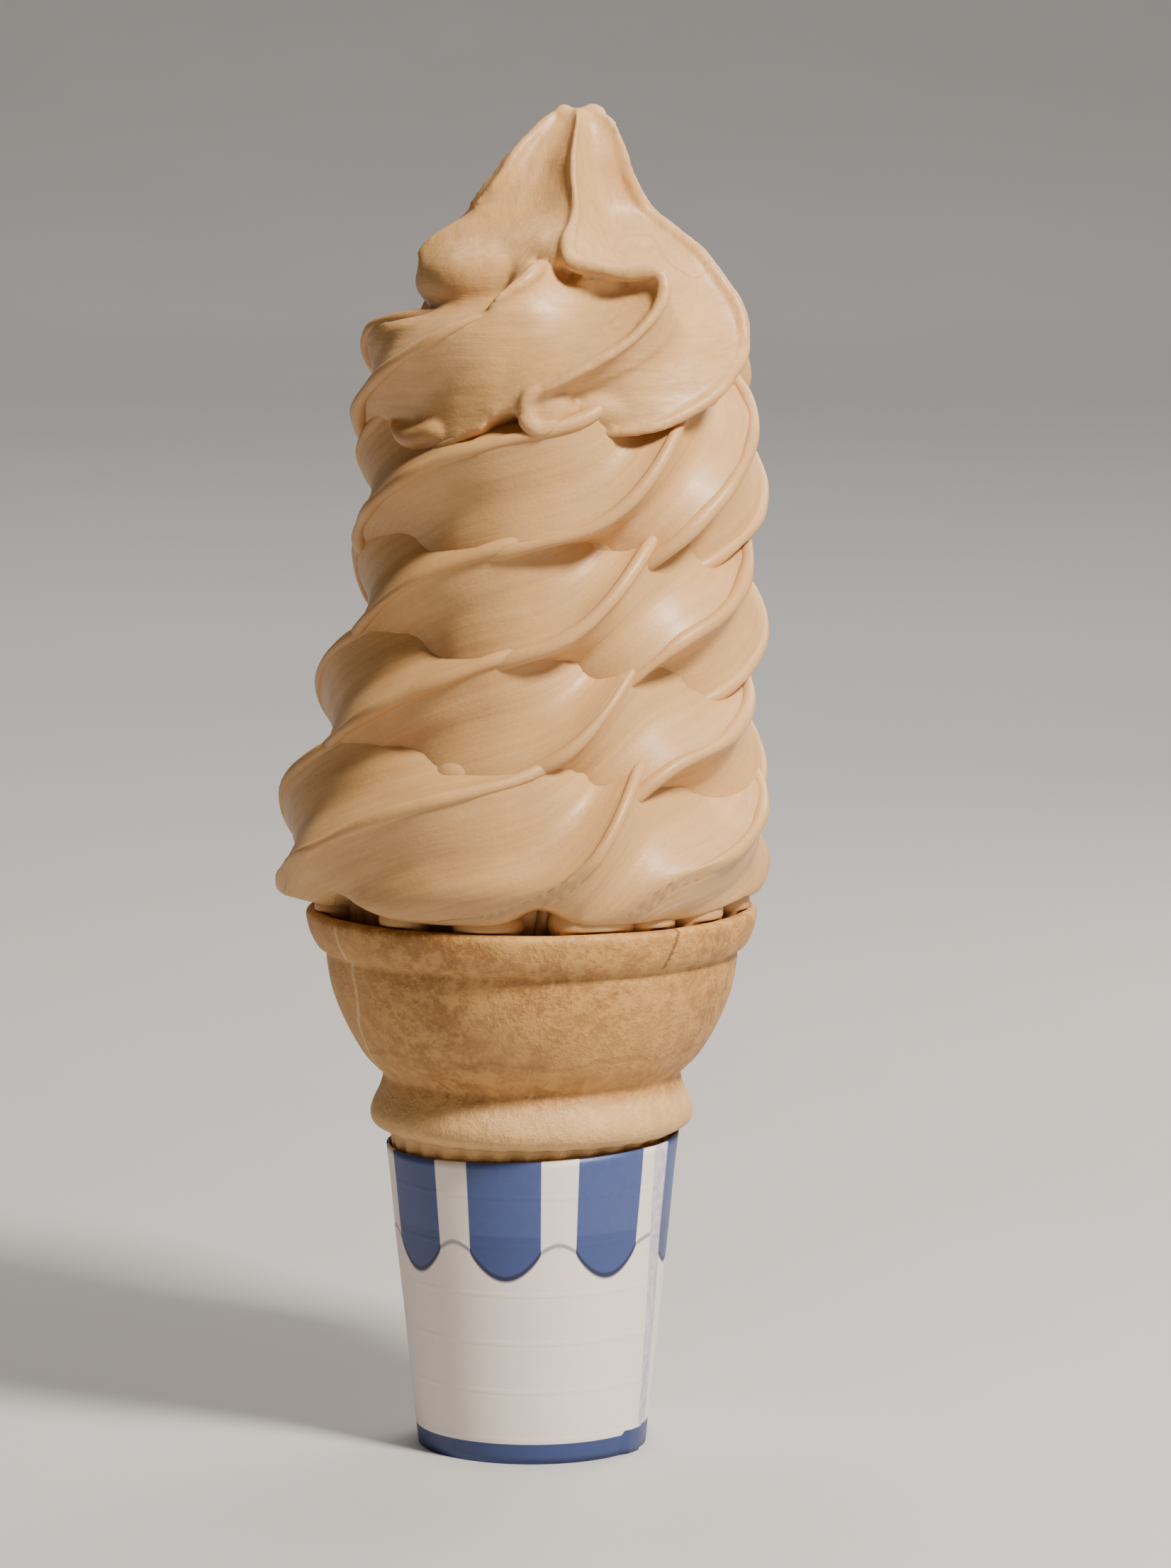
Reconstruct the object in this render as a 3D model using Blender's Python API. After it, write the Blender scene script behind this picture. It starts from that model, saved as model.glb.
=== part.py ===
"""Soft serve swirl in a flat-bottomed wafer cup with a striped paper jacket.

Metres, +Z up, standing on the plane z = 0, the front facing -Y.
Azimuths are measured from the front, positive towards +X.
"""
import bpy
import bmesh
from math import atan2, cos, degrees, exp, floor, pi, radians, sin, sqrt, tau
from mathutils import Matrix, Vector

for old in list(bpy.data.objects):
    bpy.data.objects.remove(old)

# room between touching pieces, and the distance under which two points are one
GAP = 0.0003
SAME_POINT = 1e-6

# Wafer cup
RIM_Z = 0.0767
CUP_SEGMENTS = 56
RIB_DEPTH = 0.0003
FLOOR_TOP_Z = 0.0035
# outside of the cup from the foot up, radius and height
CUP_OUTSIDE = [
    (0.0154, 0.0000), (0.0199, 0.0440), (0.0203, 0.0452), (0.0218, 0.0459),
    (0.0227, 0.0470), (0.0226, 0.0485), (0.0217, 0.0508), (0.0211, 0.0530),
    (0.0222, 0.0543), (0.0240, 0.0564), (0.0263, 0.0604), (0.0280, 0.0647),
    (0.0288, 0.0685), (0.0290, 0.0710), (0.0303, 0.0714), (0.0313, 0.0732),
    (0.0318, 0.0757),
]
# rows of the outside that carry ribs
RIB_ROWS = (1, 2)
# inside of the cup from the rim down
CUP_INSIDE = [
    (0.0311, RIM_Z), (0.0299, RIM_Z), (0.0291, 0.0735), (0.0266, 0.0665),
    (0.0240, 0.0604), (0.0192, 0.0540), (0.0180, 0.0475), (0.0136, FLOOR_TOP_Z),
]

# Paper jacket
JACKET_TOP_Z = 0.0442
JACKET_TOP_R = 0.0207
JACKET_FOOT_R = 0.0162
PAPER = 0.00045
JACKET_SEGMENTS = 60
# the overlap of the sheet, in degrees: its free edge, its width and the rise to full height
LAP_EDGE = 65.0
LAP_WIDTH = 15.0
LAP_RAMP = 5.0

# Swirl of a six-pointed rope
POINTS = 6
GROOVE = 0.29
GROOVE_POWER = 0.8
CREST_ROUND = 0.09
# how the ridges lag behind the coil near the front, degrees
LAG = 22.0
LAG_AZIMUTH = -10.0
LAG_WIDTH = 38.0
# outward sag of the lower half of each turn
SAG = 0.10
# each turn at the front: height, drop to the right, lift, rope radius, coil radius, shift to the right
TURNS = [
    (0.0680, 0.0040, 0.0010, 0.0130, 0.0130, -0.0005),
    (0.0852, 0.0045, 0.0020, 0.0166, 0.0206, -0.0016),
    (0.1025, 0.0055, 0.0020, 0.0150, 0.0163, 0.0022),
    (0.1203, 0.0045, 0.0015, 0.0143, 0.0153, 0.0037),
    (0.1376, 0.0022, 0.0010, 0.0139, 0.0157, 0.0040),
    (0.1545, 0.0010, 0.0000, 0.0138, 0.0155, 0.0042),
    (0.1710, 0.0000, 0.0000, 0.0136, 0.0130, 0.0040),
]
START_TURN = -0.5
END_TURN = 5.17
# how the last turn bends up into the peak: x, y, z, rope radius, pitch in degrees
PEAK = [
    (0.0165, -0.0035, 0.1590, 0.0152, 22.0),
    (0.0124, -0.0012, 0.1622, 0.0184, 50.0),
    (0.0076, 0.0000, 0.1655, 0.0214, 75.0),
    (0.0045, 0.0000, 0.1690, 0.0205, 90.0),
    (0.0032, 0.0000, 0.1725, 0.0176, 90.0),
    (0.0032, 0.0000, 0.1765, 0.0142, 90.0),
    (0.0040, 0.0000, 0.1805, 0.0113, 90.0),
    (0.0052, 0.0000, 0.1845, 0.0084, 90.0),
    (0.0064, 0.0000, 0.1878, 0.0050, 90.0),
    (0.0068, 0.0000, 0.1890, 0.0018, 90.0),
]
# rounded mass under the peak: centre, half-sizes
PILLOW_CENTRE = (0.0036, 0.0005, 0.1652)
PILLOW_HALF = (0.0203, 0.0198, 0.0090)
# points round the rope, rings in a turn, rings between two rows of the peak
AROUND = 72
PER_TURN = 48
PER_PEAK_STEP = 6
# solid middle of the coil, sunk into the filling
CORE_R = 0.0130
CORE_SUNK = 0.0040
CORE_SIDES = 32
# rough filling of the cup, cut to fit afterwards
FILLING_FOOT_R = 0.0180
FILLING_TOP_R = 0.0360
FILLING_TOP_Z = 0.0715
FILLING_SUNK = 0.0020
FILLING_SIDES = 48
# shape that cuts the filling: how far it reaches out and down
MOULD_R = 0.0600
MOULD_FOOT_Z = -0.0100
# remeshing of the fused body, and the share of its faces that is kept
VOXEL = 0.0008
KEPT_FACES = 0.053


def catmull(rows, t):
    """A smooth value between the rows of a table, t counted in rows."""
    last = len(rows) - 1
    i = min(max(int(floor(t)), 0), last - 1)
    f = t - i
    p1 = Vector(rows[i])
    p2 = Vector(rows[i + 1])
    p0 = Vector(rows[i - 1]) if i > 0 else 2 * p1 - p2
    p3 = Vector(rows[i + 2]) if i + 2 <= last else 2 * p2 - p1
    square = (2 * p0 - 5 * p1 + 4 * p2 - p3) * f * f
    cube = (3 * p1 - p0 - 3 * p2 + p3) * f ** 3
    return 0.5 * (2 * p1 + (p2 - p0) * f + square + cube)


def groove(angle):
    """Share of the rope radius left at one angle of the star."""
    t = (angle * POINTS / tau) % 1.0
    s = sin(pi * t) ** GROOVE_POWER
    soft = sqrt(s * s + CREST_ROUND ** 2) - CREST_ROUND
    return 1.0 - GROOVE * soft


def lag(turn):
    """Turn of the rope about its own line at one place of the coil."""
    azimuth = (turn * 360.0 - LAG_AZIMUTH + 180.0) % 360.0 - 180.0
    return radians(LAG) * exp(-((azimuth / LAG_WIDTH) ** 2))


def rope_stations():
    """Centre, direction, radius, own turn and sag of the rope from start to tip."""
    stations = []
    count = int((END_TURN - START_TURN) * PER_TURN)
    for k in range(count + 1):
        turn = START_TURN + (END_TURN - START_TURN) * k / count
        level, drop, lift, rope, coil, shift = catmull(TURNS, turn)
        phi = turn * tau
        z = level - drop * sin(phi) + lift * cos(phi)
        centre = Vector((shift + coil * sin(phi), -coil * cos(phi), z))
        line = Vector((cos(phi), sin(phi), 0))
        stations.append((centre, line, rope, lag(turn), SAG))
    back, front = stations[-1 - PER_TURN // 10], stations[-1]
    knots = [(*back[0], back[2], 0.0), (*front[0], front[2], 0.0)] + PEAK
    total = len(PEAK) * PER_PEAK_STEP
    for k in range(1, total + 1):
        *centre, rope, pitch = catmull(knots, 1 + k / PER_PEAK_STEP)
        rise = radians(min(max(pitch, 0.0), 90.0))
        line = front[1] * cos(rise) + Vector((0, 0, sin(rise)))
        fade = max(0.0, 1.0 - 3.0 * k / total)
        stations.append((Vector(centre), line, rope, front[3] * fade, SAG * fade))
    return stations


def sweep_rope(bm):
    """The rope as a grid rolled into a closed tube."""
    stations = rope_stations()
    rows = len(stations)
    old = set(bm.verts)
    bmesh.ops.create_grid(bm, x_segments=AROUND, y_segments=rows - 1, size=1.0)
    verts = [v for v in bm.verts if v not in old]
    for i, (centre, line, radius, own, sag) in enumerate(stations):
        to_line = Vector((0, 0, 1)).rotation_difference(line)
        outward = Vector((centre.x, centre.y, 0)).normalized()
        for j in range(AROUND + 1):
            angle = tau * j / AROUND
            r = radius * groove(angle)
            lab = Vector((r * sin(angle + own), -r * cos(angle + own), 0))
            offset = to_line @ lab
            verts[i * (AROUND + 1) + j].co = centre + offset - outward * sag * offset.z
    bmesh.ops.remove_doubles(bm, verts=verts, dist=SAME_POINT)
    open_edges = [e for e in bm.edges if e.is_boundary]
    bmesh.ops.holes_fill(bm, edges=open_edges, sides=0)


def lathe(outline, segments):
    """A closed outline of radius and height pairs turned about Z."""
    bm = bmesh.new()
    verts = [bm.verts.new((r, 0, z)) for r, z in outline]
    edges = [bm.edges.new(pair) for pair in zip(verts, verts[1:] + verts[:1])]
    bmesh.ops.spin(bm, geom=verts + edges, cent=(0, 0, 0), axis=(0, 0, 1),
                   angle=tau, steps=segments, use_merge=True)
    bmesh.ops.remove_doubles(bm, verts=bm.verts, dist=SAME_POINT)
    spare = [e for e in bm.edges if not e.link_faces]
    bmesh.ops.delete(bm, geom=spare, context="EDGES")
    return bm


def new_object(name, bm, colour, roughness):
    """One named object with a material of its own."""
    bmesh.ops.recalc_face_normals(bm, faces=bm.faces)
    mesh = bpy.data.meshes.new(name)
    bm.to_mesh(mesh)
    bm.free()
    mesh.polygons.foreach_set("use_smooth", [True] * len(mesh.polygons))
    material = bpy.data.materials.new(name)
    material.use_nodes = True
    shader = material.node_tree.nodes["Principled BSDF"]
    shader.inputs["Base Color"].default_value = (*colour, 1.0)
    shader.inputs["Roughness"].default_value = roughness
    mesh.materials.append(material)
    thing = bpy.data.objects.new(name, mesh)
    bpy.context.scene.collection.objects.link(thing)
    return thing


def build_cup():
    """Thin-walled wafer cup with a ring, a bowl and a thick rim band."""
    outline = [(0.0, 0.0)] + CUP_OUTSIDE + CUP_INSIDE + [(0.0, FLOOR_TOP_Z)]
    bm = lathe(outline, CUP_SEGMENTS)
    ribbed = [CUP_OUTSIDE[k] for k in RIB_ROWS]
    for vert in bm.verts:
        flat = vert.co.xy.length
        step = round(atan2(vert.co.y, vert.co.x) / tau * CUP_SEGMENTS)
        on_rib = any(abs(vert.co.z - z) + abs(flat - r) < SAME_POINT for r, z in ribbed)
        if on_rib and step % 2:
            vert.co.xy *= (flat - RIB_DEPTH) / flat
    return new_object("wafer_cone", bm, (0.62, 0.38, 0.17), 0.65)


def build_jacket():
    """Conical paper sleeve, its overlap standing one sheet proud."""
    corners = [(JACKET_FOOT_R, 0.0), (JACKET_TOP_R, JACKET_TOP_Z)]
    outline = corners + [(r - PAPER, z) for r, z in reversed(corners)]
    bm = lathe(outline, JACKET_SEGMENTS)
    for vert in bm.verts:
        flat = vert.co.xy.length
        outer = JACKET_FOOT_R + (JACKET_TOP_R - JACKET_FOOT_R) * vert.co.z / JACKET_TOP_Z
        azimuth = degrees(atan2(vert.co.x, -vert.co.y))
        past = (azimuth - LAP_EDGE + LAP_WIDTH) % 360.0
        if flat > outer - 0.5 * PAPER and past < LAP_WIDTH:
            vert.co.xy *= (flat + PAPER * min(1.0, past / LAP_RAMP)) / flat
    return new_object("paper_jacket", bm, (0.75, 0.75, 0.78), 0.6)


def add_column(bm, sides, foot_r, top_r, foot_z, top_z, x):
    """A round column with a wider or narrower top, standing at x."""
    place = Matrix.Translation((x, 0.0, 0.5 * (foot_z + top_z)))
    bmesh.ops.create_cone(bm, cap_ends=True, segments=sides, radius1=foot_r, radius2=top_r,
                          depth=top_z - foot_z, matrix=place)


def build_swirl():
    """The rope and the filling of the cup fused into one body."""
    bm = bmesh.new()
    sweep_rope(bm)
    core_foot_z = RIM_Z - CORE_SUNK
    core_top_z = TURNS[-2][0]
    core_shift = TURNS[-1][-1]
    add_column(bm, CORE_SIDES, CORE_R, CORE_R, core_foot_z, core_top_z, core_shift)
    foot_z = FLOOR_TOP_Z - FILLING_SUNK
    add_column(bm, FILLING_SIDES, FILLING_FOOT_R, FILLING_TOP_R, foot_z, FILLING_TOP_Z, 0.0)
    pillow = Matrix.LocRotScale(PILLOW_CENTRE, None, PILLOW_HALF)
    bmesh.ops.create_uvsphere(bm, u_segments=32, v_segments=16, radius=1.0, matrix=pillow)
    swirl = new_object("soft_serve", bm, (0.80, 0.62, 0.42), 0.4)

    remesh = swirl.modifiers.new("Fuse", "REMESH")
    remesh.mode = "VOXEL"
    remesh.voxel_size = VOXEL
    remesh.use_smooth_shade = True
    relax = swirl.modifiers.new("Relax", "SMOOTH")
    relax.factor = 0.5
    relax.iterations = 2
    thin = swirl.modifiers.new("Thin", "DECIMATE")
    thin.ratio = KEPT_FACES

    # everything outside the cup's inner wall and below its rim is cut away
    wall = [(r - GAP, z) for r, z in CUP_INSIDE[1:-1]]
    wall.append((CUP_INSIDE[-1][0] - GAP, FLOOR_TOP_Z + GAP))
    mould = [(0.0, FLOOR_TOP_Z + GAP)] + wall[::-1]
    mould += [(CUP_INSIDE[0][0] - GAP, RIM_Z + GAP), (MOULD_R, RIM_Z + GAP)]
    mould += [(MOULD_R, MOULD_FOOT_Z), (0.0, MOULD_FOOT_Z)]
    cutter = new_object("cup_clearance", lathe(mould, CUP_SEGMENTS), (0.5, 0.5, 0.5), 0.5)
    cutter.hide_render = True
    cutter.display_type = "WIRE"
    trim = swirl.modifiers.new("Trim", "BOOLEAN")
    trim.operation = "DIFFERENCE"
    trim.object = cutter
    return swirl


build_cup()
build_jacket()
build_swirl()
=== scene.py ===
"""Looks of the soft serve cone: the swirl, the wafer cup and the printed paper jacket.

Metres, +Z up, the front facing -Y. Azimuths are measured from the front,
positive towards +X.
"""
from math import atan, atan2, cos, degrees, exp, floor, pi, radians, sin, sqrt, tau

import bmesh
import bpy
from mathutils import Euler, Matrix, Vector, noise


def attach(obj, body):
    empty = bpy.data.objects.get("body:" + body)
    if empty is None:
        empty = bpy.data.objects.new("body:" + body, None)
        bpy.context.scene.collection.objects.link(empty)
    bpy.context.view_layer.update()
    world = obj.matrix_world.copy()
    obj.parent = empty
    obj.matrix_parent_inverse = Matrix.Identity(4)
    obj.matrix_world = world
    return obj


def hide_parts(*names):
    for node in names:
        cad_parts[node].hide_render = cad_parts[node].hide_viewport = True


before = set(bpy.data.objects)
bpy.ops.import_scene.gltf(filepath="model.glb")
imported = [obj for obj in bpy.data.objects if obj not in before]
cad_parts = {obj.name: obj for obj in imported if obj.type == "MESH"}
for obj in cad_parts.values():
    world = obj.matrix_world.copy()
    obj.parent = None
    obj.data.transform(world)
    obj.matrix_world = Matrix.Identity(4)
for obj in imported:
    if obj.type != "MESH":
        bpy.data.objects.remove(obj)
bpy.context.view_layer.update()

# Camera, from the ellipses of the rim and the foot
LONG_SIDE_PIXELS = 2212
FOCAL_PIXELS = 8590.0
SENSOR = 36.0
CAMERA_SIDE = 0.0076
CAMERA_BACK = 0.85
CAMERA_HEIGHT = 0.197
AIM_HEIGHT = 0.0939

# Studio: each light's name, place, aim, size, power and colour, the room's faint light, the floor's side view
SWIRL_MIDDLE = (0.0, 0.0, 0.10)
LIGHTS = [
    ("key", (0.38, -0.40, 0.66), SWIRL_MIDDLE, 0.14, 15.0, (1.0, 0.95, 0.88)),
    ("fill", (-0.55, -0.75, 0.22), SWIRL_MIDDLE, 0.50, 0.20, (1.0, 0.86, 0.70)),
    ("edge", (0.30, 0.50, 0.40), SWIRL_MIDDLE, 0.25, 1.6, (1.0, 0.90, 0.76)),
    ("backdrop", (0.0, 0.90, 1.60), (0.0, 2.10, 0.10), 1.40, 34.0, (1.0, 0.97, 0.94)),
]
ROOM_LIGHT = (1.0, 0.94, 0.88, 1)
ROOM_STRENGTH = 0.05
FLOOR_PROFILE = [(-3.0, 0.0), (1.6, 0.0), (2.6, 0.12), (3.3, 0.50), (3.6, 1.10), (3.7, 3.0)]
FLOOR_HALF = 3.0
FLOOR_STEPS = 6

# Colours, in linear light
CREAM_DEEP = (0.520, 0.275, 0.098, 1)
CREAM_PALE = (0.640, 0.370, 0.148, 1)
WAFER_BROWN = (0.320, 0.132, 0.026, 1)
WAFER_TAN = (0.550, 0.280, 0.076, 1)
WAFER_GOLD = (0.610, 0.320, 0.092, 1)
# pale of the wafer's ring, also painted as light over the shaded neck under the ring
WAFER_PALE_AND_PAINTED_LIGHT = (0.800, 0.500, 0.220, 1)
MOULD_PALE = (0.800, 0.560, 0.300, 1)
CRACK_DARK = (0.150, 0.052, 0.012, 1)
BATTER_DARK = (0.260, 0.100, 0.022, 1)
PAPER_SHADE = (0.850, 0.730, 0.655, 1)
PAPER_WHITE = (0.895, 0.785, 0.710, 1)
AWNING_DEEP = (0.045, 0.068, 0.200, 1)
AWNING_BLUE = (0.062, 0.092, 0.245, 1)
FLAP_BLUE = (0.028, 0.045, 0.150, 1)
ARCH_GREY = (0.120, 0.115, 0.190, 1)
SCALLOP_NAVY = (0.012, 0.014, 0.050, 1)
BAND_BLUE = (0.030, 0.050, 0.155, 1)
GLUE_DEEP = (0.400, 0.380, 0.480, 1)
GLUE_PALE = (0.600, 0.570, 0.630, 1)
FLOOR_SHADE = (0.50, 0.485, 0.47, 1)
FLOOR_PALE = (0.54, 0.525, 0.51, 1)

# Swirl of a six-pointed rope
POINTS = 6
GROOVE = 0.28
GROOVE_POWER = 0.85
CREST_ROUND = 0.24
# bead along each crest: width as a share of a sector, height as a share of the rope radius
BEAD_WIDTH = 0.060
BEAD_HEIGHT = 0.030
# round cord that runs along each crest: radius, how deep it is sunk, its detail
RIDGE_R = 0.00098
RIDGE_SUNK = 0.00058
RIDGE_AROUND = 12
# how the cords swell, in waves a metre and share; where they end, and over how many rings they run out
RIDGE_SWELL = (120.0, 0.5)
RIDGE_TURN = 4.94
RIDGE_FADE = 7
# a faint second fold beside each crest, in the same shares
FOLD_PLACE = 0.30
FOLD_WIDTH = 0.055
FOLD_HEIGHT = 0.018
# how far the ridges lag behind the coil in degrees, for each turn at these azimuths
LAG_AZIMUTHS = [-180, -120, -90, -60, -35, -12, 2, 12, 20, 28, 36, 50, 75, 110, 180]
LAGS = [
    [0, 0, 2, 6, 10, 18, 24, 21, 10, -12, -18, -12, -8, -4, 0],
    [0, 0, 3, 8, 10, 14, 17, 9, -3, -13, -14, -8, -6, -4, 0],
    [0, 0, 4, 11, 11, 18, 22, 14, 5, -5, -9, -5, -8, -4, 0],
    [0, 0, 4, 10, 14, 26, 33, 37, 31, 22, 10, 0, -4, -2, 0],
    [0, 0, 0, 4, 8, 10, 11, 11, 11, 11, 11, 8, 4, 0, 0],
]
LAG_BLUR = 3.5
# outward sag of the lower half of each turn, and how much taller than wide the rope stands
SAG = 0.10
TALL = 1.14
# each turn at the front: height, drop to the right, lift, rope radius, coil radius, shift to the right
TURNS = [
    (0.0680, 0.0040, 0.0010, 0.0130, 0.0130, -0.0005),
    (0.0852, 0.0045, 0.0020, 0.0166, 0.0206, -0.0016),
    (0.1025, 0.0055, 0.0020, 0.0150, 0.0163, 0.0022),
    (0.1203, 0.0045, 0.0015, 0.0143, 0.0153, 0.0037),
    (0.1376, 0.0022, 0.0010, 0.0139, 0.0157, 0.0040),
    (0.1545, 0.0010, 0.0000, 0.0138, 0.0155, 0.0042),
    (0.1710, 0.0000, 0.0000, 0.0136, 0.0130, 0.0040),
]
# the last turn is pressed flat by the peak on it: turn and greatest height over the rope's middle
PRESSED_TOP = [(4.40, 0.0170), (4.62, 0.0095), (4.83, 0.0088), (4.944, 0.0102)]
PRESSED_SOFT = 0.0045
# how far a crest that is pressed down is drawn in as well
PRESSED_IN = 0.8
START_TURN = -0.5
PEAK_TURN = 4.55
SWIRL_TURN = 4.70
END_TURN = 4.944
# where the rope bends up out of the last turn: the front, left and right ridge
BEND = [
    ((-0.0055, -0.0266, 0.1469), (-0.0049, -0.0251, 0.1627), (-0.0016, -0.0161, 0.1391)),
    ((0.0010, -0.0290, 0.1502), (-0.0005, -0.0235, 0.1655), (0.0030, -0.0210, 0.1426)),
    ((0.0070, -0.0292, 0.1535), (0.0012, -0.0205, 0.1670), (0.0100, -0.0240, 0.1446)),
    ((0.0136, -0.0278, 0.1575), (0.0020, -0.0180, 0.1678), (0.0173, -0.0245, 0.1457)),
    ((0.0178, -0.0255, 0.1625), (0.0020, -0.0165, 0.1683), (0.0244, -0.0210, 0.1492)),
    ((0.0175, -0.0243, 0.1663), (0.0010, -0.0155, 0.1688), (0.0276, -0.0170, 0.1525)),
    ((0.0127, -0.0233, 0.1662), (-0.0030, -0.0148, 0.1683), (0.0293, -0.0120, 0.1560)),
    ((0.0095, -0.0222, 0.1668), (-0.0090, -0.0126, 0.1676), (0.0285, -0.0090, 0.1612)),
]
# the peak above: x, y, z, radius, azimuth of the front ridge, spread of the left ridge, in degrees
RISE = [
    (0.0042, 0.0000, 0.1676, 0.0208, 13.0, 28.0),
    (0.0028, 0.0000, 0.1704, 0.0184, 17.0, 32.0),
    (0.0033, 0.0000, 0.1743, 0.0130, 20.0, 24.0),
    (0.0040, 0.0000, 0.1790, 0.0100, 12.0, 4.0),
    (0.0049, 0.0000, 0.1822, 0.0086, 7.0, 0.0),
    (0.0068, 0.0000, 0.1862, 0.0056, -4.0, 0.0),
    (0.0068, 0.0000, 0.1884, 0.0026, -6.0, 0.0),
]
SPREAD_REACH = 55.0
PEAK_GROOVE = 1.25
# cords that round off the front, right and left ridge of the peak
PEAK_BEAD_R = 0.0010
LEFT_RIDGE_ENDS = 2
LEFT_RIDGE_RETURNS = 2
CORD_AROUND = 16
# the start of the last turn's lower ridge curls under
CURL = [
    (0.0040, -0.0286, 0.1512),
    (0.0002, -0.0284, 0.1500),
    (-0.0006, -0.0278, 0.1477),
    (0.0010, -0.0274, 0.1457),
    (0.0033, -0.0272, 0.1464),
    (0.0046, -0.0266, 0.1482),
]
CURL_R = 0.0015
# cream inside the foot of the peak and behind the curl, and the two ears of the tip: place and half-sizes
PEAK_HEART = [
    ((0.0055, 0.0000, 0.1610), (0.0190, 0.0150, 0.0080)),
    ((-0.0044, -0.0022, 0.1648), (0.0120, 0.0138, 0.0068)),
    ((0.0090, -0.0152, 0.1622), (0.0072, 0.0058, 0.0034)),
    ((0.0100, -0.0200, 0.1649), (0.0036, 0.0026, 0.0012)),
    ((0.0110, -0.0208, 0.1660), (0.0018, 0.0019, 0.0007)),
    ((0.0100, 0.0060, 0.1560), (0.0170, 0.0170, 0.0090)),
    ((0.0022, -0.0256, 0.1482), (0.0040, 0.0030, 0.0034)),
    ((0.0085, -0.0222, 0.1478), (0.0070, 0.0036, 0.0034)),
]
# where the peak is smoothed: two corners of a box, rounds
SOFT_PLACES = [
    ((-0.0200, -0.0200, 0.1590), (0.0010, 0.0120, 0.1750), 30),
    ((0.0015, -0.0310, 0.1598), (0.0142, -0.0080, 0.1652), 70),
    ((-0.0260, 0.0040, 0.1500), (0.0280, 0.0360, 0.1730), 40),
    ((-0.0110, -0.0320, 0.1460), (-0.0015, -0.0180, 0.1620), 18),
]
EARS = [
    ((0.0046, -0.0006, 0.1866), (0.0017, 0.0020, 0.0024)),
    ((0.0086, -0.0002, 0.1868), (0.0021, 0.0022, 0.0023)),
]
# small knobs of cream pressed out of the seams: place and half-sizes
KNOBS = [
    ((-0.0080, -0.0228, 0.0975), (0.0056, 0.0046, 0.0036)),
    ((0.0262, -0.0096, 0.1035), (0.0024, 0.0030, 0.0028)),
    ((0.0252, -0.0145, 0.0872), (0.0022, 0.0030, 0.0019)),
]
# a soft fold pressed out under the last turn at the left
UNDERFOLD = [
    (-0.0196, -0.0085, 0.1452),
    (-0.0168, -0.0140, 0.1437),
    (-0.0128, -0.0184, 0.1445),
    (-0.0096, -0.0206, 0.1439),
    (-0.0060, -0.0224, 0.1453),
]
UNDERFOLD_R = 0.0019
PEAK_VOXEL = 0.00045
RELAX_ROUNDS = 2
# over what height the streaks turn from round the coil to upwards, and how that place wanders
PEAK_BLEND = 0.004
PEAK_WANDER = (150.0, 0.005)
# points round the rope, how much closer they stand at the crests, rings in a turn and in a step of the peak
AROUND = 108
CREST_CROWD = 0.75
PER_TURN = 130
PER_PEAK_STEP = 12
CORD_STEPS = 4
# how much the streaks are drawn out along the rope
STREAK_STRETCH = 0.12
# how uneven the cream is: waves a metre and height
BROAD_WAVES = (70.0, 0.00045)
MIDDLE_WAVES = (190.0, 0.00014)
MIDDLE_SHIFT = (3.1, 7.7, 1.3)
FINE_STREAKS = (420.0, 0.00010)
BROAD_STREAKS = (160.0, 0.00022)
# plain cord that lies behind the seam of two turns: its reach as a share of the star's, and its detail
SEAM_REACH = 0.53
SEAM_AROUND = 32
SEAM_PER_TURN = 60
# cream squeezed out over the rim: azimuth in degrees, half-width and half-height
SQUEEZED = [
    (-38.0, 0.0042, 0.0034), (-12.0, 0.0050, 0.0028), (18.0, 0.0062, 0.0044), (36.0, 0.0040, 0.0032),
    (55.0, 0.0054, 0.0052), (80.0, 0.0056, 0.0050), (112.0, 0.0036, 0.0026), (141.0, 0.0054, 0.0034),
    (178.0, 0.0040, 0.0028), (214.0, 0.0052, 0.0032), (247.0, 0.0038, 0.0030), (283.0, 0.0044, 0.0024),
]
SQUEEZED_R = 0.0274
SQUEEZED_DEPTH = 0.0036
SQUEEZED_LIFT = 0.3
# detail of the round lobes of cream: points round, rings where they show and where they are fused
LOBE_AROUND = 32
LOBE_RINGS = 20
FUSED_LOBE_RINGS = 16
# how steeply the underside of the bottom turn rises outside the rim
UNDERSIDE_RISE = 0.22
UNDERSIDE_REACH = 0.0030
UNDERSIDE_SOFT = 0.0008
# where the underside stands off the rim: azimuth and width in degrees, height
UNDERSIDE_ARCHES = [(2.5, 7.0, 0.0026), (-54.0, 10.0, 0.0026), (70.0, 14.0, 0.0012), (150.0, 25.0, 0.0020)]
# how far the bottom turn stands out over the rim: most at the left, next to nothing elsewhere
OVERHANG = 0.0037
OVERHANG_MOST_AT = -92.0
OVERHANG_WIDTH = 40.0
OVERHANG_SLOPE = 0.55
# column that closes the middle of the coil
CORE_R = 0.0115
CORE_SHIFT = 0.0020
CORE_TOP_Z = 0.1600
CORE_STEPS = 96
FILLING_TOP_Z = 0.0665

# Wafer cup
RIM_Z = 0.0767
CUP_R = 0.0312
GAP = 0.0003
RIM_CLEAR = 1.5 * GAP
CUP_STEPS = 240
CUP_RUN_STEPS = 4
RIBS = 30
RIB_DEPTH = 0.00060
RIB_LOW_Z = 0.0430
RIB_HIGH_Z = 0.0459
# how uneven the wafer is above its foot: waves a metre and height
FOOT_TRUE_Z = 0.002
CUP_BROAD_WAVES = (60.0, 0.00018)
CUP_FINE_WAVES = (220.0, 0.00005)
CUP_LEVEL_WAVES = (90.0, 0.00012)
CUP_LEVEL_SHIFT = (9.0, 2.0, 5.0)
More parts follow.
